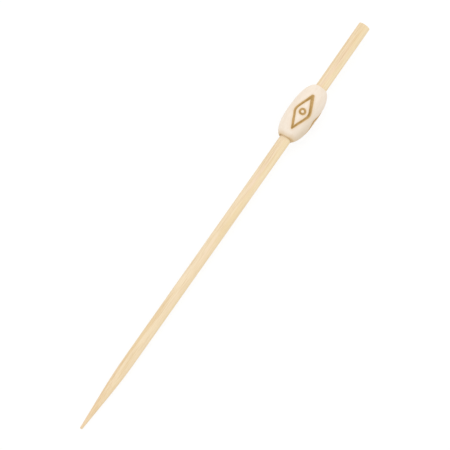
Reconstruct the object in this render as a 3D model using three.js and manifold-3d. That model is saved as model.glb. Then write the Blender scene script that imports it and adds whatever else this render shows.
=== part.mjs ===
// A bamboo snack pick, lying on its side as it comes to rest: a round stick sharpened at
// one end, and a long oval wooden bead pressed onto it a little below its sawn end. Three
// figures are carved round the bead, each a lozenge outline with a small ring inside it.
// Millimetres, +Z up. The point looks towards -X and the sawn end towards +X.
import * as THREE from 'three';
import { mergeVertices } from 'three/addons/utils/BufferGeometryUtils.js';
import Module from 'manifold-3d';

const wasm = await Module();
wasm.setup();

// Stick
const STICK_LENGTH = 120;
const STICK_DIAMETER = 2.8; // just behind the point
const SAWN_END_DIAMETER = 2.93; // a bamboo stick is a little thicker at this end
const POINT_LENGTH = 15.5;
const POINT_DIAMETER = 0.6; // the very end of the point is blunt
const POINT_EDGE = 0.12;
const SHOULDER_LENGTH = 4.5; // over which the point runs into the round stick
const SAWN_EDGE = 0.06;
const STICK_SIDES = 56;

// Bead
const BEAD_LENGTH = 15;
const BEAD_DIAMETER = 7.3;
const BEAD_FULLNESS = 2.55; // power of the outline's curve: 2 is an ellipse, more is fuller
const BEAD_END_CUT = 0.5; // what the flat ends take off the closed curve
const BEAD_FROM_SAWN_END = 19;
const BORE_CLEARANCE = 0.12; // all round, where the glue goes
const BORE_MOUTH_EDGE = 0.1;
const BEAD_SIDES = 80;
const BEAD_STEPS = 28;

// Carving
const FIGURE_ANGLES = [5, -96, 123]; // degrees from the top of the bead towards +Y, set by eye
const FIGURE_SHIFT = -0.4; // from the bead's middle, towards the point of the pick
const LOZENGE_LENGTH = 9.4; // along the middle of the carved line
const LOZENGE_WIDTH = 4; // between its side corners, if they were sharp
const LOZENGE_SIDE_RADIUS = 2.9;
const LOZENGE_LINE = 0.64;
const RING_RADIUS = 0.66;
const RING_LINE = 0.52;
const GROOVE_DEPTH = 0.28;
const RING_SIDES = 28;

// Where each thing stands along the stick, from the point.
const beadMiddle = STICK_LENGTH - BEAD_FROM_SAWN_END - BEAD_LENGTH / 2;

function stickRadiusAt(along) {
  const share = (along - POINT_LENGTH) / (STICK_LENGTH - POINT_LENGTH);
  return THREE.MathUtils.lerp(STICK_DIAMETER, SAWN_END_DIAMETER, share) / 2;
}

// The stick's outline, as x = radius and y = distance from the point.
function stickOutline() {
  const tip = POINT_DIAMETER / 2;
  const pointSlope = (STICK_DIAMETER / 2 - tip) / POINT_LENGTH;
  const before = POINT_LENGTH - SHOULDER_LENGTH / 2;
  const after = POINT_LENGTH + SHOULDER_LENGTH / 2;
  const outline = new THREE.Path();
  outline.moveTo(0, 0);
  outline.lineTo(tip - POINT_EDGE, 0);
  outline.quadraticCurveTo(tip, 0, tip + pointSlope * POINT_EDGE, POINT_EDGE);
  outline.lineTo(tip + pointSlope * before, before);
  outline.quadraticCurveTo(STICK_DIAMETER / 2, POINT_LENGTH, stickRadiusAt(after), after);
  outline.lineTo(stickRadiusAt(STICK_LENGTH - SAWN_EDGE), STICK_LENGTH - SAWN_EDGE);
  outline.lineTo(SAWN_END_DIAMETER / 2 - SAWN_EDGE, STICK_LENGTH);
  outline.lineTo(0, STICK_LENGTH);
  return outline.getPoints(6);
}

// The turned side of the bead, as x = radius and y = distance from the point of the pick.
function beadOutline(inset = 0) {
  const halfLength = BEAD_LENGTH / 2;
  const reach = halfLength + BEAD_END_CUT;
  return Array.from({ length: BEAD_STEPS + 1 }, (_, step) => {
    const along = halfLength * Math.sin((step / BEAD_STEPS - 0.5) * Math.PI);
    const share = 1 - Math.pow(Math.abs(along) / reach, BEAD_FULLNESS);
    const radius = (BEAD_DIAMETER / 2) * Math.pow(share, 1 / BEAD_FULLNESS);
    return new THREE.Vector2(radius - inset, beadMiddle + along);
  });
}

// Turns an outline about the X axis, which is the stick's own.
function turned(outline, sides) {
  return new THREE.LatheGeometry(outline, sides).rotateZ(-Math.PI / 2);
}

function solidOf(geometry) {
  const bare = geometry.clone();
  bare.deleteAttribute('normal');
  bare.deleteAttribute('uv');
  const merged = mergeVertices(bare, 1e-4);
  return new wasm.Manifold(new wasm.Mesh({
    numProp: 3,
    vertProperties: new Float32Array(merged.attributes.position.array),
    triVerts: new Uint32Array(merged.index.array),
  }));
}

function geometryOf(solid) {
  const mesh = solid.getMesh();
  const geometry = new THREE.BufferGeometry();
  geometry.setAttribute('position', new THREE.BufferAttribute(mesh.vertProperties, 3));
  geometry.setIndex(new THREE.BufferAttribute(mesh.triVerts, 1));
  geometry.computeVertexNormals();
  return geometry;
}

// A closed outline through the corners, each rounded by its own radius.
function roundedPolygon(corners) {
  const shape = new THREE.Shape();
  corners.forEach(({ at, radius }, i) => {
    const toLast = corners.at(i - 1).at.clone().sub(at).normalize();
    const toNext = corners[(i + 1) % corners.length].at.clone().sub(at).normalize();
    const halfAngle = Math.acos(THREE.MathUtils.clamp(toLast.dot(toNext), -1, 1)) / 2;
    const reach = radius / Math.tan(halfAngle);
    const start = at.clone().addScaledVector(toLast, reach);
    const end = at.clone().addScaledVector(toNext, reach);
    const inward = toLast.clone().add(toNext).normalize();
    const centre = at.clone().addScaledVector(inward, radius / Math.sin(halfAngle));
    if (i === 0) shape.moveTo(start.x, start.y);
    else shape.lineTo(start.x, start.y);
    if (radius > 0) {
      const from = start.clone().sub(centre).angle();
      const to = end.clone().sub(centre).angle();
      shape.absarc(centre.x, centre.y, radius, from, to, false);
    }
  });
  shape.closePath();
  return shape;
}

// The lozenge, moved outwards by a distance from the middle of its line.
function lozenge(outwards) {
  const halfLength = LOZENGE_LENGTH / 2;
  const halfWidth = LOZENGE_WIDTH / 2;
  const side = Math.hypot(halfLength, halfWidth);
  const endX = halfLength + (outwards * side) / halfWidth;
  const sideY = halfWidth + (outwards * side) / halfLength;
  const endRadius = Math.max(outwards, 0);
  const sideRadius = LOZENGE_SIDE_RADIUS + outwards;
  return roundedPolygon([
    { at: new THREE.Vector2(endX, 0), radius: endRadius },
    { at: new THREE.Vector2(0, sideY), radius: sideRadius },
    { at: new THREE.Vector2(-endX, 0), radius: endRadius },
    { at: new THREE.Vector2(0, -sideY), radius: sideRadius },
  ]);
}

function ring() {
  const shape = new THREE.Shape();
  shape.absarc(0, 0, RING_RADIUS + RING_LINE / 2, 0, 2 * Math.PI, false);
  const hole = new THREE.Path();
  hole.absarc(0, 0, RING_RADIUS - RING_LINE / 2, 0, 2 * Math.PI, true);
  shape.holes.push(hole);
  return shape;
}

// One figure's cut, as it stands on top of the bead: down through the figure's lines, as
// far as a core that lies one groove depth below the bead's own surface.
function figureCut() {
  const frame = lozenge(LOZENGE_LINE / 2);
  frame.holes.push(lozenge(-LOZENGE_LINE / 2));
  const height = BEAD_DIAMETER / 2 + 1;
  const lines = [[frame, 8], [ring(), RING_SIDES / 2]].map(([shape, curveSegments]) => {
    const block = new THREE.ExtrudeGeometry(shape, { depth: height, bevelEnabled: false, curveSegments });
    return solidOf(block.translate(beadMiddle + FIGURE_SHIFT, 0, 0));
  });
  const deep = beadOutline(GROOVE_DEPTH);
  const core = [new THREE.Vector2(0, deep[0].y), ...deep, new THREE.Vector2(0, deep.at(-1).y)];
  return lines[0].add(lines[1]).subtract(solidOf(turned(core, BEAD_SIDES)));
}

function carvedBead() {
  const side = beadOutline();
  const low = side[0].y;
  const high = side.at(-1).y;
  const bore = stickRadiusAt(high) + BORE_CLEARANCE;
  const outline = [
    new THREE.Vector2(bore, low + BORE_MOUTH_EDGE),
    new THREE.Vector2(bore + BORE_MOUTH_EDGE, low),
    ...side,
    new THREE.Vector2(bore + BORE_MOUTH_EDGE, high),
    new THREE.Vector2(bore, high - BORE_MOUTH_EDGE),
    new THREE.Vector2(bore, low + BORE_MOUTH_EDGE),
  ];
  const cut = figureCut();
  const carved = FIGURE_ANGLES.reduce(
    (body, angle) => body.subtract(cut.rotate([-angle, 0, 0])),
    solidOf(turned(outline, BEAD_SIDES)),
  );
  return geometryOf(carved);
}

// A straight table under the pick touches the bead's belly and the stick's shoulder behind
// the point. This is how much it rises, for each millimetre along the stick.
function restSlope() {
  const belly = beadOutline();
  const beforeBead = stickOutline().filter((point) => point.y < belly[0].y);
  return Math.min(...beforeBead.map((low) =>
    Math.max(...belly.map((high) => (high.x - low.x) / (high.y - low.y)))));
}

const bamboo = new THREE.MeshStandardMaterial({ color: 0xe6cd9a, roughness: 0.7 });
const paleWood = new THREE.MeshStandardMaterial({ color: 0xeddcc4, roughness: 0.6 });

const stick = new THREE.Mesh(turned(stickOutline(), STICK_SIDES), bamboo);
stick.name = 'bamboo_stick';
const bead = new THREE.Mesh(carvedBead(), paleWood);
bead.name = 'carved_bead';

const pick = new THREE.Group();
pick.name = 'snack_pick';
pick.add(stick, bead);

// Laid on the table, with the origin on the table under the middle of the pick.
pick.rotation.y = -Math.atan(restSlope());
const bounds = new THREE.Box3().setFromObject(pick, true);
const middle = bounds.getCenter(new THREE.Vector3());
pick.position.set(-middle.x, -middle.y, -bounds.min.z);

export default pick;
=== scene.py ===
"""A bamboo snack pick with a carved wooden bead, dressed and set up for its picture.

The pick's own frame is in millimetres: X runs along the stick from the point, Y across it and
Z up from its axis. Every tree below works in that frame, and Pose carries the meshes over to
the row's frame, in metres.
"""

from __future__ import annotations

import logging
import math
from dataclasses import dataclass
from enum import Enum
from typing import Any, Mapping, Optional, Sequence, Union

import bpy
import bmesh
from mathutils import Matrix, Vector

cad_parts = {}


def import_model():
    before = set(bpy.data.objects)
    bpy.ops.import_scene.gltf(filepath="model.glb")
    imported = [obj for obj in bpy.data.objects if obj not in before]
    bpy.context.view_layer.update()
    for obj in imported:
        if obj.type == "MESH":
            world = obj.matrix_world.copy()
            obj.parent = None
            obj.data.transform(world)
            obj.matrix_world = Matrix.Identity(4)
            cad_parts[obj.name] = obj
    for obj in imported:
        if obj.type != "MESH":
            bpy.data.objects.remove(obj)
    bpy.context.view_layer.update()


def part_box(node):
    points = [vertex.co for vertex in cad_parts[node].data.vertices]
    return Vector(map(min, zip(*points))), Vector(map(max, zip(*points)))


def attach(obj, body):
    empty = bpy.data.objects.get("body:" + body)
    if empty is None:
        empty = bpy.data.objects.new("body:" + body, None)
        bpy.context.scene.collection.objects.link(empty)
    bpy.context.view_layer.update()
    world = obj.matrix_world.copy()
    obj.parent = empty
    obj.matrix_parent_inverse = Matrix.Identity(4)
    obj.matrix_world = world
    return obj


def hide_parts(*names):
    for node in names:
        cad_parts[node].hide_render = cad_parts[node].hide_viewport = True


LOG = logging.getLogger("snack_pick")
MM = 0.001
BODY = "root"
SEAM_GAP = 0.0002  # millimetres; points closer than this are one

Colour = tuple[int, int, int]
Span = tuple[float, float]  # where a ramp starts and where it ends


class Slot(Enum):
    """The record's material slots."""

    BAMBOO = "bamboo"
    BEAD = "bead_wood"


def linear(colour: Colour) -> tuple[float, float, float, float]:
    """Turns a colour as it is seen on a screen into the light values that a shader takes.

    Args:
        colour: red, green and blue, from 0 to 255.

    Returns:
        Linear red, green and blue, with an alpha of 1.
    """
    parts = [c / 255 for c in colour]
    red, green, blue = (p / 12.92 if p <= 0.04045 else ((p + 0.055) / 1.055) ** 2.4 for p in parts)
    return red, green, blue, 1.0


class Wire:
    """A number on its way through a node tree. Operators on it add Math nodes."""

    def __init__(self, bench: Bench, socket: bpy.types.NodeSocket) -> None:
        """Wraps an output socket of one of the bench's nodes."""
        self.bench = bench
        self.socket = socket

    def __add__(self, other: Number) -> Wire:
        """Adds."""
        return self.bench.maths("ADD", self, other)

    def __radd__(self, other: Number) -> Wire:
        """Adds, with the wire on the right."""
        return self.bench.maths("ADD", other, self)

    def __sub__(self, other: Number) -> Wire:
        """Takes away."""
        return self.bench.maths("SUBTRACT", self, other)

    def __rsub__(self, other: Number) -> Wire:
        """Takes the wire away from a number."""
        return self.bench.maths("SUBTRACT", other, self)

    def __mul__(self, other: Number) -> Wire:
        """Multiplies."""
        return self.bench.maths("MULTIPLY", self, other)

    def __rmul__(self, other: Number) -> Wire:
        """Multiplies, with the wire on the right."""
        return self.bench.maths("MULTIPLY", other, self)

    def __truediv__(self, other: Number) -> Wire:
        """Divides."""
        return self.bench.maths("DIVIDE", self, other)

    def __rtruediv__(self, other: Number) -> Wire:
        """Divides a number by the wire."""
        return self.bench.maths("DIVIDE", other, self)

    def __pow__(self, other: Number) -> Wire:
        """Raises to a power."""
        return self.bench.maths("POWER", self, other)

    def __neg__(self) -> Wire:
        """Changes the sign."""
        return self.bench.maths("MULTIPLY", self, -1.0)

    def __abs__(self) -> Wire:
        """Drops the sign."""
        return self.bench.maths("ABSOLUTE", self)

    def at_most(self, other: Number) -> Wire:
        """The smaller of two numbers."""
        return self.bench.maths("MINIMUM", self, other)

    def at_least(self, other: Number) -> Wire:
        """The larger of two numbers."""
        return self.bench.maths("MAXIMUM", self, other)

    def below(self, other: Number) -> Wire:
        """1 where the wire is below the other number, and 0 elsewhere."""
        return self.bench.maths("LESS_THAN", self, other)

    def ramp(self, start: Number, end: Number) -> Wire:
        """Goes evenly from 0 at start to 1 at end, and stays there."""
        return ((self - start) / (end - start)).at_least(0.0).at_most(1.0)

    def soft_ramp(self, start: Number, end: Number) -> Wire:
        """Goes from 0 at start to 1 at end, easing in and out."""
        share = self.ramp(start, end)
        return share * share * (3.0 - 2.0 * share)

    def towards(self, other: Number, share: Number) -> Wire:
        """Moves from the wire to the other number by a share from 0 to 1."""
        return self + (other - self) * share


Number = Union[Wire, float, int]


class Bench:
    """Adds nodes to one tree, of shaders or of geometry."""

    def __init__(self, tree: bpy.types.NodeTree) -> None:
        """Takes the tree to work on."""
        self.tree = tree

    def node(
        self,
        kind: str,
        settings: Optional[Mapping[str, Any]] = None,
        inputs: Optional[Mapping[Union[str, int], Any]] = None,
    ) -> bpy.types.Node:
        """Adds one node.

        Args:
            kind: the node's type.
            settings: its own settings, and under "stops" a ramp's (place, colour) pairs.
            inputs: values or links for its sockets, by name or by number.

        Returns:
            The node.
        """
        made = self.tree.nodes.new(kind)
        for name, value in (settings or {}).items():
            if name == "stops":
                elements = made.color_ramp.elements
                while len(elements) < len(value):
                    elements.new(1.0)
                for element, (place, colour) in zip(elements, value):
                    element.position = place
                    element.color = colour
            else:
                setattr(made, name, value)
        for key, value in (inputs or {}).items():
            source = value.socket if isinstance(value, Wire) else value
            if isinstance(source, bpy.types.NodeSocket):
                self.tree.links.new(source, made.inputs[key])
            else:
                made.inputs[key].default_value = source
        return made

    def wire(self, node: bpy.types.Node, output: Union[str, int] = 0) -> Wire:
        """Wraps one output of a node as a number."""
        return Wire(self, node.outputs[output])

    def maths(self, operation: str, *values: Number) -> Wire:
        """Adds a Math node and gives its result."""
        settings = {"operation": operation}
        return self.wire(self.node("ShaderNodeMath", settings, dict(enumerate(values))))

    def parts(self, vector: bpy.types.NodeSocket) -> tuple[Wire, Wire, Wire]:
        """Splits a vector into its three numbers."""
        split = self.node("ShaderNodeSeparateXYZ", inputs={0: vector})
        return self.wire(split, 0), self.wire(split, 1), self.wire(split, 2)

    def vector(self, x: Number, y: Number, z: Number) -> bpy.types.NodeSocket:
        """Joins three numbers into a vector."""
        return self.node("ShaderNodeCombineXYZ", inputs={0: x, 1: y, 2: z}).outputs[0]

    def noise(self, place: bpy.types.NodeSocket, scale: float, detail: float = 2.0,
              roughness: float = 0.5) -> Wire:
        """Smooth noise around 0.5.

        Args:
            place: where it is read.
            scale: how fine it is.
            detail: how many finer layers lie on it.
            roughness: how strong those layers are.

        Returns:
            The noise's value.
        """
        inputs = {"Vector": place, "Scale": scale, "Detail": detail, "Roughness": roughness}
        return self.wire(self.node("ShaderNodeTexNoise", inputs=inputs))


class PieceTree(Bench):
    """A Geometry Nodes tree for one piece, with named inputs in millimetres."""

    def __init__(self, name: str, finish: bpy.types.Material) -> None:
        """Starts an empty tree.

        Args:
            name: the tree's name.
            finish: the material that the piece gets.
        """
        super().__init__(bpy.data.node_groups.new(name, "GeometryNodeTree"))
        self.values: dict[str, Any] = {}
        self.entry = self.tree.nodes.new("NodeGroupInput")
        self.tree.interface.new_socket(name="Piece", in_out="OUTPUT",
                                       socket_type="NodeSocketGeometry")
        self.finish_socket = self._declare("Finish", "NodeSocketMaterial", finish)

    def _declare(self, name: str, kind: str, value: Any) -> bpy.types.NodeSocket:
        """Adds a named input.

        Args:
            name: the input's name.
            kind: its socket type.
            value: what the piece sets it to.

        Returns:
            Its socket inside the tree.
        """
        made = self.tree.interface.new_socket(name=name, in_out="INPUT", socket_type=kind)
        self.values[made.identifier] = value
        return self.entry.outputs[name]

    def size(self, name: str, value: float) -> Wire:
        """Adds a named number."""
        return Wire(self, self._declare(name, "NodeSocketFloat", float(value)))

    def count(self, name: str, value: int) -> Wire:
        """Adds a named whole number."""
        return Wire(self, self._declare(name, "NodeSocketInt", int(value)))

    def sheet(self, across: Wire, along: Wire) -> tuple[bpy.types.NodeSocket, Wire, Wire]:
        """Makes the flat sheet that a turned piece is wrapped from.

        Args:
            across: how many faces go round the piece.
            along: how many faces go along its outline.

        Returns:
            The sheet, how far round each point is, and how far along, both from 0 to 1.
        """
        grid = self.node("GeometryNodeMeshGrid", inputs={
            "Size X": 1.0, "Size Y": 1.0, "Vertices X": across + 1, "Vertices Y": along + 1})
        x, y, _ = self.parts(self.node("GeometryNodeInputPosition").outputs[0])
        return grid.outputs[0], x + 0.5, y + 0.5

    def store(self, geometry: bpy.types.NodeSocket, name: str, value: Wire) -> bpy.types.NodeSocket:
        """Keeps a number on every point of a mesh, for its finish to read.

        Args:
            geometry: the mesh.
            name: the name that the finish reads it by.
            value: the number.

        Returns:
            The mesh with the number on it.
        """
        made = self.node("GeometryNodeStoreNamedAttribute",
                         {"data_type": "FLOAT", "domain": "POINT"},
                         {"Geometry": geometry, "Name": name, "Value": value})
        return made.outputs[0]

    def wrap(self, geometry: bpy.types.NodeSocket,
             place: bpy.types.NodeSocket) -> bpy.types.NodeSocket:
        """Moves a sheet's points to their place and closes its seams.

        Args:
            geometry: the sheet.
            place: where each of its points goes.

        Returns:
            The closed mesh.
        """
        moved = self.node("GeometryNodeSetPosition",
                          inputs={"Geometry": geometry, "Position": place})
        return self.node("GeometryNodeMergeByDistance",
                         inputs={"Geometry": moved.outputs[0], "Distance": SEAM_GAP}).outputs[0]

    def grow(self, name: str, geometry: bpy.types.NodeSocket, pose: Pose,
             crease_deg: float = 35.0) -> bpy.types.Object:
        """Closes the tree and turns its result into a plain mesh in the row's frame.

        Args:
            name: the piece's name.
            geometry: what the tree has made.
            pose: where the pick lies.
            crease_deg: edges that bend more than this are shaded sharp.

        Returns:
            The finished object, at the origin.
        """
        real = self.node("GeometryNodeRealizeInstances", inputs={0: geometry})
        dressed = self.node("GeometryNodeSetMaterial", inputs={
            "Geometry": real.outputs[0], "Material": self.finish_socket})
        self.tree.links.new(dressed.outputs[0], self.tree.nodes.new("NodeGroupOutput").inputs[0])

        maker = bpy.data.objects.new(name + "_maker", bpy.data.meshes.new(name + "_maker"))
        bpy.context.scene.collection.objects.link(maker)
        modifier = maker.modifiers.new("make", "NODES")
        modifier.node_group = self.tree
        for identifier, value in self.values.items():
            modifier[identifier] = value
        graph = bpy.context.evaluated_depsgraph_get()
        mesh = bpy.data.meshes.new_from_object(maker.evaluated_get(graph), depsgraph=graph,
                                               preserve_all_data_layers=True)
        maker.modifiers.remove(modifier)
        bpy.data.objects.remove(maker)
        bpy.data.node_groups.remove(self.tree)

        mesh.name = name
        shell = bmesh.new()
        shell.from_mesh(mesh)
        bmesh.ops.recalc_face_normals(shell, faces=shell.faces)
        shell.to_mesh(mesh)
        shell.free()
        mesh.transform(pose.matrix)
        mesh.shade_smooth()
        mesh.set_sharp_from_angle(angle=math.radians(crease_deg))
        piece = bpy.data.objects.new(name, mesh)
        bpy.context.scene.collection.objects.link(piece)
        return piece


@dataclass(frozen=True)
class Pose:
    """Where the pick lies: it rests on the bead's belly and on the stick's shoulder.

    The bead's middle is in metres in the row's frame. bead_at says how far that is from the
    pick's point, in millimetres, and rise_deg how much the stick rises towards its sawn end.
    """

    bead_middle: Vector
    bead_at: float
    rise_deg: float = 1.6981

    @property
    def turn(self) -> Matrix:
        """How the pick's own frame is turned in the row's frame."""
        return Matrix.Rotation(math.radians(-self.rise_deg), 4, "Y")

    @property
    def point(self) -> Vector:
        """Where the pick's point is."""
        return self.bead_middle - self.turn @ Vector((self.bead_at * MM, 0, 0))

    @property
    def matrix(self) -> Matrix:
        """Takes millimetres in the pick's frame to metres in the row's."""
        return Matrix.Translation(self.point) @ self.turn @ Matrix.Scale(MM, 4)

    def place(self, along: float, across: float = 0.0, up: float = 0.0) -> Vector:
        """A place in the pick's frame, in the row's frame."""
        return self.matrix @ Vector((along, across, up))


@dataclass(frozen=True)
class Pattern:
    """A noise in the pick's own frame.

    along and across say how fast it changes along the stick and across it, shift moves it so
    that two patterns differ, and detail and roughness say how many finer layers lie on it and
    how strong they are. Where the noise rises through cut, the pattern's colour comes in, and
    share is the most that there is of it.
    """

    along: float
    across: float
    shift: float = 0.0
    detail: float = 2.0
    roughness: float = 0.5
    cut: Span = (0.0, 1.0)
    share: float = 1.0


class Finish:
    """A material in the making, with the pick's own coordinates at hand."""

    def __init__(self, name: str, pose: Pose) -> None:
        """Starts a material.

        Args:
            name: the material's name.
            pose: where the pick lies, so that a pattern follows the stick.
        """
        self.material = bpy.data.materials.new(name)
        self.material.use_nodes = True
        self.material.node_tree.nodes.clear()
        self.bench = Bench(self.material.node_tree)
        spot = self.bench.node("ShaderNodeTexCoord").outputs["Object"]
        turned = self.bench.node("ShaderNodeMapping", {"vector_type": "TEXTURE"}, {
            "Vector": spot, "Location": pose.point,
            "Rotation": pose.turn.to_euler(), "Scale": (MM, MM, MM)})
        self.x, self.y, self.z = self.bench.parts(turned.outputs[0])

    def draw(self, pattern: Pattern) -> Wire:
        """Lays a pattern over the piece, around 0.5."""
        place = self.bench.vector(self.x * pattern.along + pattern.shift,
                                  self.y * pattern.across, self.z * pattern.across)
        return self.bench.noise(place, 1.0, pattern.detail, pattern.roughness)

    def cover(self, pattern: Pattern, noise: Optional[Wire] = None) -> Wire:
        """Says how much of a pattern's colour lies on each place.

        Args:
            pattern: the pattern.
            noise: its noise, where that is drawn already.

        Returns:
            The colour's share, from 0 to the pattern's own.
        """
        drawn = self.draw(pattern) if noise is None else noise
        return drawn.soft_ramp(*pattern.cut) * pattern.share

    def blend(self, share: Number, first: Any, second: Any) -> bpy.types.NodeSocket:
        """Mixes two colours, each a colour or a link.

        Args:
            share: how much of the second one is in the mix.
            first: the colour at a share of 0.
            second: the colour at a share of 1.

        Returns:
            The mixed colour.
        """
        first, second = (linear(c) if isinstance(c, tuple) else c for c in (first, second))
        made = self.bench.node("ShaderNodeMix", {"data_type": "RGBA"},
                               {0: share, 6: first, 7: second})
        return made.outputs[2]

    def mark(self, name: str) -> Wire:
        """Reads a number that the piece's mesh carries."""
        found = self.bench.node("ShaderNodeAttribute", {"attribute_name": name})
        return self.bench.wire(found, "Fac")

    def close(self, colour: bpy.types.NodeSocket, roughness: Number, height: Wire, depth: float,
              specular: float = 0.35) -> bpy.types.Material:
        """Ends the material in a Principled shader.

        Args:
            colour: the colour over the surface.
            roughness: the roughness over the surface.
            height: the relief, from 0 to 1.
            depth: how deep the relief is, in millimetres.
            specular: how strongly it shines, the same all over.

        Returns:
            The material.
        """
        bump = self.bench.node("ShaderNodeBump", inputs={
            "Strength": 1.0, "Distance": depth * MM, "Height": height})
        shader = self.bench.node("ShaderNodeBsdfPrincipled", inputs={
            "Base Color": colour, "Roughness": roughness, "Normal": bump.outputs[0],
            "Specular IOR Level": specular})
        self.bench.node("ShaderNodeOutputMaterial", inputs={"Surface": shader.outputs[0]})
        return self.material


@dataclass(frozen=True)
class SandedBamboo:
    """Plain sanded bamboo: pale flesh with fine straw-coloured fibres along the stick.

    Its length is the stick's, because the sawn end has a grain of its own. Its -Y side is
    painted a little paler, as painted light that evens out the shade that the lamp leaves
    there. The spans are in millimetres, along the stick from its point, across it towards -Y,
    and of the sawn skin down from the sawn end.
    """

    length: float
    pale: Colour = (246, 226, 195)
    straw: Colour = (238, 212, 170)
    rosy: Colour = (243, 217, 190)
    fibre: Colour = (221, 188, 140)
    vein: Colour = (196, 154, 98)
    sap: Colour = (236, 196, 146)
    # Painted light: the paler colour that the stick's -Y side is lifted towards.
    painted_light_side: Colour = (255, 236, 194)
    end_grain: Colour = (226, 196, 150)
    sap_along: Span = (-2.0, 22.0)
    sap_share: float = 0.3
    # Painted light: where across the -Y side the paler colour comes in, and how much of it there
    # is.
    painted_light_across: Span = (-0.4, 1.1)
    painted_light_share: float = 0.5
    sawn_skin: Span = (0.02, 0.005)
    bands: Pattern = Pattern(0.03, 1.25, roughness=0.6, cut=(0.36, 0.64))
    hues: Pattern = Pattern(0.05, 0.7, 40.0, detail=1.0, cut=(0.5, 0.66), share=0.7)
    fibres: Pattern = Pattern(0.13, 5.0, 11.0, detail=3.0, roughness=0.65,
                              cut=(0.47, 0.66), share=0.6)
    veins: Pattern = Pattern(0.07, 10.0, 73.0, detail=1.0, cut=(0.63, 0.71), share=0.4)
    pores: Pattern = Pattern(0.0, 5.0, 5.0, roughness=0.6, cut=(0.4, 0.7), share=0.6)
    relief: float = 0.02

    def material(self, pose: Pose) -> bpy.types.Material:
        """Makes the finish.

        Args:
            pose: where the pick lies.

        Returns:
            The material.
        """
        work = Finish("sanded_bamboo", pose)
        fibres, veins = work.draw(self.fibres), work.cover(self.veins)
        colour = work.blend(work.cover(self.bands), self.pale, self.straw)
        colour = work.blend(work.cover(self.hues), colour, self.rosy)
        colour = work.blend(work.cover(self.fibres, fibres), colour, self.fibre)
        colour = work.blend(veins, colour, self.vein)
        # Painted light: the stick's -Y side is made paler, to even out the shade that the lamp
        # leaves there.
        inner = (-work.y).soft_ramp(*self.painted_light_across)
        colour = work.blend(inner * self.painted_light_share, colour, self.painted_light_side)
        near_point = 1.0 - work.x.soft_ramp(*self.sap_along)
        colour = work.blend(near_point * self.sap_share, colour, self.sap)
        deepest, shallowest = self.sawn_skin
        sawn = work.x.ramp(self.length - deepest, self.length - shallowest)
        pores = work.draw(self.pores)
        grain = work.blend(work.cover(self.pores, pores), self.end_grain, self.fibre)
        colour = work.blend(sawn, colour, grain)
        roughness = 0.62 + 0.16 * fibres
        height = (fibres * 0.6 + 0.4 - veins) * (1.0 - sawn) + pores * sawn
        return work.close(colour, roughness, height, self.relief)


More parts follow.
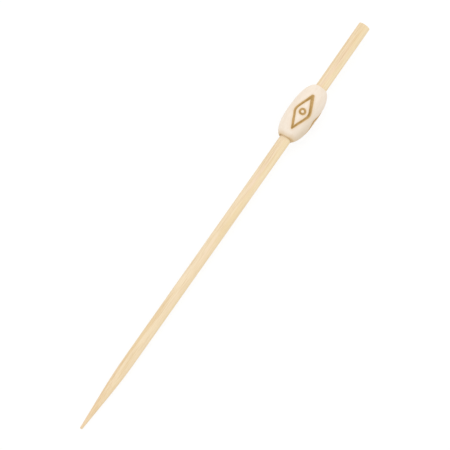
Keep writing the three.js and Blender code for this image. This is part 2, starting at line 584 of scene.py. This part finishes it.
@dataclass(frozen=True)
class CarvedPaleWood:
    """Pale close-grained wood, smooth and matt, with brown stain in what is carved.

    The spans are in millimetres. Those of the carving count from the carved line's edge and are
    below 0 inside it, and those of the mouth count from the bore's lower mouth. The others are
    in the pick's own frame, where across goes towards -Y. Blots make the stain's edges uneven.
    Low on the -Y side, towards its lower end, the bead is darkened and yellowed as painted shade.
    The brown round the lower mouth is partly stain round the bore and partly painted contact
    shade, and it reaches further on the -Y side as painted shade.
    """

    pale: Colour = (248, 234, 218)
    grain: Colour = (240, 221, 201)
    fleck: Colour = (226, 202, 176)
    stain: Colour = (210, 174, 118)
    burnt: Colour = (172, 134, 72)
    halo: Colour = (224, 194, 148)
    # Partly brown stain round the bore and partly painted contact shade where the bead meets the
    # stick.
    mouth_stain_and_shade: Colour = (210, 178, 128)
    # Painted shade: the colour that the bead's low -Y side is darkened towards, near its lower end.
    painted_shade: Colour = (216, 197, 164)
    painted_shade_along: Span = (87.0, 98.0)
    painted_shade_across: Span = (0.6, 3.3)
    painted_shade_share: float = 0.75
    carving_halo: Span = (0.0, 0.6)
    carving_halo_share: float = 0.3
    carving_rim: Span = (-0.05, 0.04)
    carving_floor: Span = (-0.28, -0.08)
    carving_blots: float = 0.07
    mouth_halo: Span = (0.1, 1.8)
    mouth_halo_share: float = 0.6
    mouth_rim: Span = (0.05, 0.6)
    mouth_rim_share: float = 0.85
    mouth_blots: float = 0.2
    # Painted shade: the brown round the lower mouth reaches further on the -Y side.
    mouth_shade_across: Span = (-0.6, 1.4)
    mouth_shade_widening: float = 0.45
    year_rings: Pattern = Pattern(0.12, 0.9, 5.0, cut=(0.35, 0.7), share=0.45)
    fine_grain: Pattern = Pattern(0.35, 4.5, 21.0, detail=3.0, roughness=0.6,
                                  cut=(0.5, 0.8), share=0.35)
    flecks: Pattern = Pattern(1.1, 9.0, 57.0, detail=1.0, cut=(0.66, 0.76), share=0.22)
    blots: Pattern = Pattern(2.2, 2.2, 9.0, detail=3.0, roughness=0.6)
    scorch: Pattern = Pattern(0.5, 0.5, 90.0, roughness=0.6, cut=(0.38, 0.62), share=0.75)
    relief: float = 0.012

    def material(self, pose: Pose) -> bpy.types.Material:
        """Makes the finish.

        Args:
            pose: where the pick lies.

        Returns:
            The material.
        """
        work = Finish("carved_pale_wood", pose)
        grain, blots = work.draw(self.fine_grain), work.draw(self.blots)
        flecks = work.draw(self.flecks).soft_ramp(*self.flecks.cut)
        colour = work.blend(work.cover(self.year_rings), self.pale, self.grain)
        colour = work.blend(work.cover(self.fine_grain, grain), colour, self.grain)
        colour = work.blend(flecks * self.flecks.share, colour, self.fleck)
        # Painted shade: the bead's low -Y side, towards its lower end, is darkened and yellowed.
        low_side = (-work.y).soft_ramp(*self.painted_shade_across)
        painted_shade = low_side * (1.0 - work.x.ramp(*self.painted_shade_along))
        colour = work.blend(painted_shade * self.painted_shade_share, colour, self.painted_shade)

        carving = work.mark("carving") + (blots - 0.5) * self.carving_blots
        around = 1.0 - carving.soft_ramp(*self.carving_halo)
        colour = work.blend(around * self.carving_halo_share, colour, self.halo)
        inside = 1.0 - carving.soft_ramp(*self.carving_rim)
        deep = 1.0 - carving.soft_ramp(*self.carving_floor)
        scorched = deep * (1.0 - self.scorch.share + work.cover(self.scorch))
        brown = work.blend(scorched, self.stain, self.burnt)
        colour = work.blend(inside, colour, brown)

        # The brown round the lower mouth is partly stain round the bore and partly painted contact
        # shade.
        mouth = work.mark("mouth") + (blots - 0.5) * self.mouth_blots
        # Painted shade: it reaches further on the -Y side, where the bead lies in shade.
        mouth = mouth - (-work.y).soft_ramp(*self.mouth_shade_across) * self.mouth_shade_widening
        around = 1.0 - mouth.soft_ramp(*self.mouth_halo)
        colour = work.blend(around * self.mouth_halo_share, colour, self.halo)
        rim = 1.0 - mouth.soft_ramp(*self.mouth_rim)
        colour = work.blend(rim * self.mouth_rim_share, colour, self.mouth_stain_and_shade)
        roughness = 0.55 + 0.12 * grain + 0.2 * inside
        height = (grain * 0.7 + 0.3 - flecks * 0.3) * (1.0 - inside) + blots * inside
        return work.close(colour, roughness, height, self.relief)


@dataclass(frozen=True)
class FibreBundle:
    """The brown ends of the bamboo's fibre bundles, on the sawn end."""

    light: Colour = (176, 134, 84)
    dark: Colour = (132, 94, 54)
    specks: Pattern = Pattern(4.0, 12.0, roughness=0.6, cut=(0.35, 0.65))
    relief: float = 0.02
    specular: float = 0.2

    def material(self, pose: Pose) -> bpy.types.Material:
        """Makes the finish.

        Args:
            pose: where the pick lies.

        Returns:
            The material.
        """
        work = Finish("fibre_bundle", pose)
        specks = work.draw(self.specks)
        colour = work.blend(work.cover(self.specks, specks), self.light, self.dark)
        return work.close(colour, 0.75 + 0.1 * specks, specks, self.relief, self.specular)


@dataclass
class Stick:
    """The round bamboo stick, with its point, its sawn end and the bundles on it.

    shoulder says how softly the point runs into the shaft. Ridges and waver are the unevenness
    of its side, fine and slow, and their paces say how fast each changes. Of the steps along
    it, the first few close the point, and the last few make the bevel and the sawn face.
    """

    length: float = 120.0
    diameter: float = 2.8
    sawn_end_diameter: float = 2.93
    point_length: float = 15.5
    point_diameter: float = 0.6
    shoulder: float = 0.5
    sawn_edge: float = 0.06
    point_blunting: float = 0.25
    point_edge: float = 0.12
    ridge_height: float = 0.035
    ridge_pace_round: float = 4.2
    ridge_pace_along: float = 0.03
    waver: float = 0.05
    waver_pace_round: float = 0.5
    waver_pace_along: float = 0.045
    bow: float = 0.1
    around: int = 132
    steps: int = 560
    point_steps: int = 5
    bevel_steps: int = 2
    sawn_face_steps: int = 6
    bundle_gap: float = 0.3
    bundle_diameter: float = 0.2
    bundle_height: float = 0.05
    bundle_roundness: float = 0.85
    bundle_sink: float = 0.01
    bundle_margin: float = 0.2
    bundle_spread: Span = (0.55, 1.1)
    bundle_density: float = 60.0
    bundle_face_sides: int = 32
    seed: int = 4

    def build(self, pose: Pose, finish: bpy.types.Material) -> bpy.types.Object:
        """Makes the stick's mesh.

        Args:
            pose: where the pick lies.
            finish: the bamboo.

        Returns:
            The stick.
        """
        tree = PieceTree("round_stick", finish)
        length = tree.size("Length", self.length)
        body = tree.size("Diameter", self.diameter) / 2.0
        sawn = tree.size("Sawn End Diameter", self.sawn_end_diameter) / 2.0
        point = tree.size("Point Length", self.point_length)
        tip = tree.size("Point Diameter", self.point_diameter) / 2.0
        shoulder = tree.size("Shoulder", self.shoulder)
        edge = tree.size("Sawn Edge", self.sawn_edge)
        ridge = tree.size("Ridge Height", self.ridge_height)
        waver = tree.size("Waver", self.waver)
        bow = tree.size("Bow", self.bow)
        seed = tree.size("Seed", self.seed)
        across = tree.count("Faces Around", self.around)
        along = tree.count("Faces Along", self.steps)

        sheet, round_share, way = tree.sheet(across, along)
        angle = round_share * math.tau
        side = tree.maths("SINE", angle)
        top = tree.maths("COSINE", angle)
        cap = self.point_steps / self.steps
        bevel = 1 - (self.bevel_steps + self.sawn_face_steps) / self.steps
        lid = 1 - self.sawn_face_steps / self.steps
        share = way.ramp(cap, bevel)
        # Rows lie closer together near the point.
        at = (length - edge) * share * (0.4 + 0.6 * share)
        cone = tip + (body - tip) * at / point
        rod = body + (sawn - body) * (at - point) / (length - point)
        radius = tree.maths("SMOOTH_MIN", cone, rod, shoulder)
        pace = self.ridge_pace_round
        fine = tree.noise(tree.vector(side * pace + seed, top * pace, at * self.ridge_pace_along),
                          1.0, 3.0, 0.55)
        pace = self.waver_pace_round
        slow = tree.noise(tree.vector(side * pace, top * pace + seed, at * self.waver_pace_along),
                          1.0, 1.0)
        thick = radius / body
        radius = radius + (fine - 0.5) * ridge * thick + (slow - 0.5) * waver * thick
        blunt = 1.0 - self.point_blunting * (1.0 - at.ramp(0.0, self.point_edge)) ** 2.0
        radius = radius * blunt - edge * way.ramp(bevel, lid)
        radius = radius * way.ramp(0.0, cap) * (1.0 - way.ramp(lid, 1.0))
        at = at + edge * way.ramp(bevel, lid)
        middle = 2.0 * at / length - 1.0
        sideways = bow * (middle * middle - 0.5)
        wrapped = tree.wrap(sheet, tree.vector(at, radius * side + sideways, radius * top))
        return tree.grow("round_stick", wrapped, pose)

    def build_bundle_ends(self, pose: Pose, finish: bpy.types.Material) -> bpy.types.Object:
        """Makes the ends of the fibre bundles, which show as brown dots on the sawn end.

        Args:
            pose: where the pick lies.
            finish: the bundles' own.

        Returns:
            All the bundle ends, as one piece.
        """
        tree = PieceTree("bundle_ends", finish)
        length = tree.size("Length", self.length)
        reach = tree.size("Reach", self.sawn_end_diameter / 2 - self.bundle_margin)
        gap = tree.size("Gap", self.bundle_gap)
        width = tree.size("Bundle Diameter", self.bundle_diameter)
        seed = tree.count("Seed", self.seed)
        face = tree.node("GeometryNodeMeshCircle", {"fill_type": "NGON"},
                         {"Vertices": self.bundle_face_sides, "Radius": reach})
        spots = tree.node("GeometryNodeDistributePointsOnFaces", {"distribute_method": "POISSON"}, {
            "Mesh": face.outputs[0], "Distance Min": gap, "Density Max": self.bundle_density,
            "Seed": seed})
        dot = tree.node("GeometryNodeMeshIcoSphere", inputs={"Radius": 0.5, "Subdivisions": 2})
        smallest, largest = self.bundle_spread
        scatter = tree.node("FunctionNodeRandomValue", {"data_type": "FLOAT"},
                            {2: smallest, 3: largest, "Seed": seed})
        wide = tree.wire(scatter, 1) * width
        laid = tree.node("GeometryNodeInstanceOnPoints", inputs={
            "Points": spots.outputs[0], "Instance": dot.outputs[0],
            "Scale": tree.vector(wide, wide * self.bundle_roundness, self.bundle_height)})
        stood = tree.node("GeometryNodeTransform", inputs={
            "Geometry": laid.outputs[0], "Rotation": (0.0, math.pi / 2, 0.0),
            "Translation": tree.vector(length - self.bundle_sink, self.bow / 2, 0.0)})
        return tree.grow("bundle_ends", stood.outputs[0], pose)


@dataclass
class Bead:
    """The long oval bead: a turned outline, a bore, and three carved figures round it.

    fullness is the power of its outline's curve, where 2 is an ellipse, and end_cut is what the
    flat ends take off the closed curve. The figures' angles are in degrees from the top towards
    +Y, and they are shifted from the bead's middle. swell is the unevenness of the bead's own
    side, and corner_swell is how much the carved line widens towards its upper corner.
    """

    middle: float = 93.5
    length: float = 15.0
    diameter: float = 7.3
    fullness: float = 2.55
    end_cut: float = 0.5
    bore_diameter: float = 3.06
    mouth_edge: float = 0.1
    off_centre: float = 0.1
    lean: float = -0.012
    figure_angles: tuple[float, ...] = (4.5, -96.0, 123.0)
    figure_shift: float = -0.53
    figure_lean_deg: float = -2.4
    lozenge_length: float = 9.2
    lozenge_width: float = 4.0
    side_radius: float = 2.4
    line: float = 0.64
    corner_swell: float = 0.42
    corner_swell_slant: float = 0.3
    corner_swell_span: Span = (0.1, 1.1)
    ring_radius: float = 0.64
    ring_line: float = 0.6
    groove_depth: float = 0.22
    groove_edge: Span = (-0.04, 0.22)
    hand_wobble: float = 0.16
    wobble_pace: float = 0.7
    wobble_shift: tuple[float, float, float] = (9.0, 4.0, 7.0)
    swell: float = 0.05
    swell_pace: float = 0.35
    carving_mark_reach: float = 1.0
    mouth_mark_reach: float = 5.0
    around: int = 300
    steps: int = 300
    inner_steps: int = 20

    def build(self, pose: Pose, finish: bpy.types.Material) -> bpy.types.Object:
        """Makes the bead's mesh, with the marks that its finish reads.

        Args:
            pose: where the pick lies.
            finish: the bead's wood.

        Returns:
            The bead.
        """
        tree = PieceTree("oval_bead", finish)
        middle = tree.size("Middle", self.middle)
        half = tree.size("Length", self.length) / 2.0
        widest = tree.size("Diameter", self.diameter) / 2.0
        fullness = tree.size("Fullness", self.fullness)
        end_cut = tree.size("End Cut", self.end_cut)
        bore = tree.size("Bore Diameter", self.bore_diameter) / 2.0
        edge = tree.size("Mouth Edge", self.mouth_edge)
        off_centre = tree.size("Off Centre", self.off_centre)
        lean = tree.size("Lean", self.lean)
        depth = tree.size("Groove Depth", self.groove_depth)
        across = tree.count("Faces Around", self.around)
        rows = tree.count("Faces Along", self.steps)

        sheet, round_share, way = tree.sheet(across, rows)
        angle = round_share * math.tau
        inner = 1 - self.inner_steps / self.steps
        share = 2.0 * way.ramp(0.0, inner) - 1.0
        # Rows lie closer together towards both ends.
        outside = half * (0.5 * share + 0.5 * tree.maths("SINE", share * (math.pi / 2)))
        reach = half + end_cut
        turned = widest * (1.0 - (abs(outside) / reach) ** fullness) ** (1.0 / fullness)
        land = widest * (1.0 - (half / reach) ** fullness) ** (1.0 / fullness)

        # The last rows go over the upper end, down the bore and out over the lower end: a
        # tenth of them over each face and each bevelled mouth, and the others down the bore.
        rest = way.ramp(inner, 1.0)
        mouth = bore + edge
        upper_face, upper_edge = rest.ramp(0.0, 0.1), rest.ramp(0.1, 0.2)
        lower_edge, lower_face = rest.ramp(0.8, 0.9), rest.ramp(0.9, 1.0)
        section = turned + (mouth - land) * (upper_face - lower_face)
        section = section - edge * (upper_edge - lower_edge)
        along = outside - edge * (upper_edge + lower_edge)
        along = along - 2.0 * (half - edge) * rest.ramp(0.2, 0.8)

        side = tree.maths("SINE", angle)
        top = tree.maths("COSINE", angle)
        spot = tree.vector(outside, turned * side, turned * top)
        carved = self._distance_to_carving(tree, spot, angle, outside, turned)
        groove = (-carved).soft_ramp(*self.groove_edge)
        swell = (tree.noise(spot, self.swell_pace, 1.0) - 0.5) * self.swell
        on_outside = 1.0 - upper_face + lower_face
        radius = section - depth * groove + swell * on_outside
        sideways = (off_centre + lean * along) * on_outside
        from_mouth = tree.maths("SQRT", (along + half) ** 2.0 + (section - bore) ** 2.0)
        sheet = tree.store(sheet, "carving", carved.at_most(self.carving_mark_reach))
        sheet = tree.store(sheet, "mouth", from_mouth.at_most(self.mouth_mark_reach))
        place = tree.vector(middle + along, radius * side + sideways, radius * top)
        return tree.grow("oval_bead", tree.wrap(sheet, place), pose)

    def _distance_to_carving(self, tree: PieceTree, spot: bpy.types.NodeSocket, angle: Wire,
                             along: Wire, radius: Wire) -> Wire:
        """How far each point is outside the nearest carved line, below 0 inside it.

        Args:
            tree: the bead's tree.
            spot: the point on the uncarved bead.
            angle: how far round it is, from the top towards +Y.
            along: how far along it is, from the bead's middle.
            radius: how far it is from the bead's axis.

        Returns:
            The distance in millimetres.
        """
        offsets: list[Wire] = []
        for number, degrees in enumerate(self.figure_angles, start=1):
            figure = tree.size(f"Figure {number} Angle", math.radians(degrees))
            offsets.append(tree.maths("WRAP", angle - figure, math.pi, -math.pi))
        nearest = offsets[0]
        for offset in offsets[1:]:
            nearest = nearest.towards(offset, abs(offset).below(abs(nearest)))

        wobble = tree.size("Hand Wobble", self.hand_wobble)
        turn = math.radians(self.figure_lean_deg)
        flat = radius * tree.maths("SINE", nearest)
        x = along - tree.size("Figure Shift", self.figure_shift)
        cos, sin = math.cos(turn), math.sin(turn)
        x, y = x * cos - flat * sin, x * sin + flat * cos
        elsewhere = tree.node("ShaderNodeVectorMath", {"operation": "ADD"},
                              {0: spot, 1: self.wobble_shift})
        x = x + (tree.noise(spot, self.wobble_pace, 1.0) - 0.5) * wobble
        y = y + (tree.noise(elsewhere.outputs[0], self.wobble_pace, 1.0) - 0.5) * wobble

        half_length = tree.size("Lozenge Length", self.lozenge_length) / 2.0
        half_width = tree.size("Lozenge Width", self.lozenge_width) / 2.0
        bend = tree.size("Side Radius", self.side_radius)
        slant = tree.maths("SQRT", half_length * half_length + half_width * half_width)
        px, py = abs(x), abs(y)
        straight = (px * half_width + py * half_length - half_length * half_width) / slant
        centre = half_width - bend * slant / half_length
        rounded = tree.maths("SQRT", px * px + (py - centre) ** 2.0) - bend
        on_bend = (px * half_length).below((py - centre) * half_width)
        past_end = ((px - half_length) * half_length - py * half_width) / slant
        from_end = tree.maths("SQRT", (px - half_length) ** 2.0 + py * py)
        side = abs(straight.towards(rounded, on_bend))
        lozenge = from_end.towards(side, past_end.below(0.0))

        ring = abs(tree.maths("SQRT", x * x + y * y) - tree.size("Ring Radius", self.ring_radius))
        # The line grows towards the upper corner, more so on its -Y side.
        swell = tree.size("Corner Swell", self.corner_swell)
        upwards = x / half_length - self.corner_swell_slant * y
        line = tree.size("Line Width", self.line) / 2.0
        line = line * (1.0 + swell * upwards.soft_ramp(*self.corner_swell_span))
        ring_line = tree.size("Ring Line Width", self.ring_line) / 2.0
        return (lozenge - line).at_most(ring - ring_line)


@dataclass
class Studio:
    """The table, the light and the camera of the photograph.

    The picture's width is in pixels and its scale in millimetres for each of them. The camera's
    distance, its sensor and where it aims are in millimetres. The lamp, the table and farthest,
    which is as far as the camera sees, are in metres.
    """

    picture_width: int = 450
    picture_scale: float = 0.2375
    distance: float = 1400.0
    sensor_width: float = 36.0
    farthest: float = 50.0
    turned_away_deg: float = 13.0
    slant_deg: float = 54.84
    aim_along: float = 60.21
    aim_across: float = -0.075
    room_light: float = 0.875
    room_colour: tuple[float, float, float] = (1.0, 0.99, 0.97)
    lamp_power: float = 1.2
    lamp_size: float = 0.5
    lamp_colour: tuple[float, float, float] = (0.86, 0.94, 1.0)
    lamp_way: tuple[float, float, float] = (-0.02, 0.6, 0.78)  # right, up and towards the camera
    lamp_distance: float = 0.8
    table_half_size: float = 3.0
    table_grey: float = 0.9
    table_white: float = 1.06
    table_share: float = 0.8

    def axes(self, pose: Pose) -> tuple[Vector, Vector, Vector]:
        """Works out the picture's own directions.

        Args:
            pose: where the pick lies.

        Returns:
            Its right, its up and the way towards the camera, in the row's frame.
        """
        away = math.radians(self.turned_away_deg)
        slant = math.radians(self.slant_deg)
        toward = pose.turn @ Vector((-math.sin(away), 0, math.cos(away)))
        along = pose.turn @ Vector((math.cos(away), 0, math.sin(away)))
        across = Vector((0, -1, 0))
        right = along * math.cos(slant) + across * math.sin(slant)
        up = along * math.sin(slant) - across * math.cos(slant)
        return right, up, toward

    def build(self, pose: Pose) -> None:
        """Sets up everything round the pick.

        Args:
            pose: where the pick lies.
        """
        self._camera(pose)
        self._table()
        self._room()
        self._lamps(pose)
        bpy.context.scene.view_settings.view_transform = "Standard"

    def _camera(self, pose: Pose) -> None:
        """Puts the camera where the photograph was taken from, with a long lens.

        Args:
            pose: where the pick lies.
        """
        right, up, toward = self.axes(pose)
        aim = pose.place(self.aim_along, self.aim_across)
        data = bpy.data.cameras.new("camera")
        data.sensor_width = self.sensor_width
        data.lens = self.sensor_width * self.distance / (self.picture_width * self.picture_scale)
        data.clip_end = self.farthest
        camera = bpy.data.objects.new("camera", data)
        turn = Matrix((right, up, toward)).transposed().to_4x4()
        camera.matrix_world = Matrix.Translation(aim + toward * self.distance * MM) @ turn
        bpy.context.scene.collection.objects.link(camera)
        bpy.context.scene.camera = camera

    def _seen_as_white(self, bench: Bench, other: bpy.types.NodeSocket, strength: float,
                       share: float) -> bpy.types.NodeSocket:
        """Mixes in plain white where the camera or a reflection looks.

        Args:
            bench: the tree to work in.
            other: the shader for all other light.
            strength: how bright the white is, with 1 for white.
            share: how much of it is mixed in.

        Returns:
            The mixed shader.
        """
        paths = bench.node("ShaderNodeLightPath")
        camera, glossy, through = (
            bench.wire(paths, f"Is {kind} Ray") for kind in ("Camera", "Glossy", "Transmission"))
        seen = camera.at_least(glossy).at_least(through)
        white = bench.node("ShaderNodeEmission",
                           inputs={"Color": (1, 1, 1, 1), "Strength": strength})
        mixed = bench.node("ShaderNodeMixShader",
                           inputs={0: seen * share, 1: other, 2: white.outputs[0]})
        return mixed.outputs[0]

    def _table(self) -> None:
        """Lays a plain white table under the pick, which keeps its shadow."""
        size = self.table_half_size
        mesh = bpy.data.meshes.new("table")
        corners = [(-size, -size, 0), (size, -size, 0), (size, size, 0), (-size, size, 0)]
        mesh.from_pydata(corners, [], [(0, 1, 2, 3)])
        table = bpy.data.objects.new("table", mesh)
        material = bpy.data.materials.new("white_table")
        material.use_nodes = True
        material.node_tree.nodes.clear()
        bench = Bench(material.node_tree)
        grey = self.table_grey
        matt = bench.node("ShaderNodeBsdfDiffuse", inputs={"Color": (grey, grey, grey, 1)})
        shown = self._seen_as_white(bench, matt.outputs[0], self.table_white, self.table_share)
        bench.node("ShaderNodeOutputMaterial", inputs={"Surface": shown})
        mesh.materials.append(material)
        bpy.context.scene.collection.objects.link(table)

    def _room(self) -> None:
        """Fills the room with soft even light, and shows it white."""
        world = bpy.data.worlds.new("white_room")
        bpy.context.scene.world = world
        world.use_nodes = True
        world.node_tree.nodes.clear()
        bench = Bench(world.node_tree)
        light = bench.node("ShaderNodeBackground",
                           inputs={"Color": (*self.room_colour, 1), "Strength": self.room_light})
        shown = self._seen_as_white(bench, light.outputs[0], 1.0, 1.0)
        bench.node("ShaderNodeOutputWorld", inputs={"Surface": shown})

    def _lamps(self, pose: Pose) -> None:
        """Hangs one wide lamp in front of the pick, towards the picture's top.

        Args:
            pose: where the pick lies.
        """
        right, up, toward = self.axes(pose)
        aim = pose.place(self.aim_along)
        rightwards, upwards, nearer = self.lamp_way
        way = (right * rightwards + up * upwards + toward * nearer).normalized()
        data = bpy.data.lights.new("soft_lamp", "AREA")
        data.shape = "DISK"
        data.size = self.lamp_size
        data.energy = self.lamp_power
        data.color = self.lamp_colour
        lamp = bpy.data.objects.new("soft_lamp", data)
        turn = way.to_track_quat("Z", "Y").to_matrix().to_4x4()
        lamp.matrix_world = Matrix.Translation(aim + way * self.lamp_distance) @ turn
        bpy.context.scene.collection.objects.link(lamp)


def settle(piece: bpy.types.Object, slot: Slot, *nodes: str) -> None:
    """Hands a finished piece over to the frame.

    Args:
        piece: the finished piece.
        slot: the record's material slot that it is made of.
        nodes: the solids that it stands for, if any.
    """
    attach(piece, BODY)
    if nodes:
        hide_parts(*nodes)
    LOG.info("%s: %d faces, made of %s, for %s", piece.name, len(piece.data.polygons),
             slot.value, ", ".join(nodes) or "nothing in the frame")


def main() -> None:
    """Builds the pick piece by piece, and then the studio round it."""
    logging.basicConfig(level=logging.INFO, format="%(name)s: %(message)s")
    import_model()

    bead, stick = Bead(), Stick()
    low, high = (Vector(corner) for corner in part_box("carved_bead"))
    pose = Pose(bead_middle=(low + high) / 2, bead_at=bead.middle)

    bamboo = SandedBamboo(stick.length).material(pose)
    settle(stick.build(pose, bamboo), Slot.BAMBOO, "bamboo_stick")
    settle(stick.build_bundle_ends(pose, FibreBundle().material(pose)), Slot.BAMBOO)
    settle(bead.build(pose, CarvedPaleWood().material(pose)), Slot.BEAD, "carved_bead")
    Studio().build(pose)


if __name__ == "__main__":
    main()
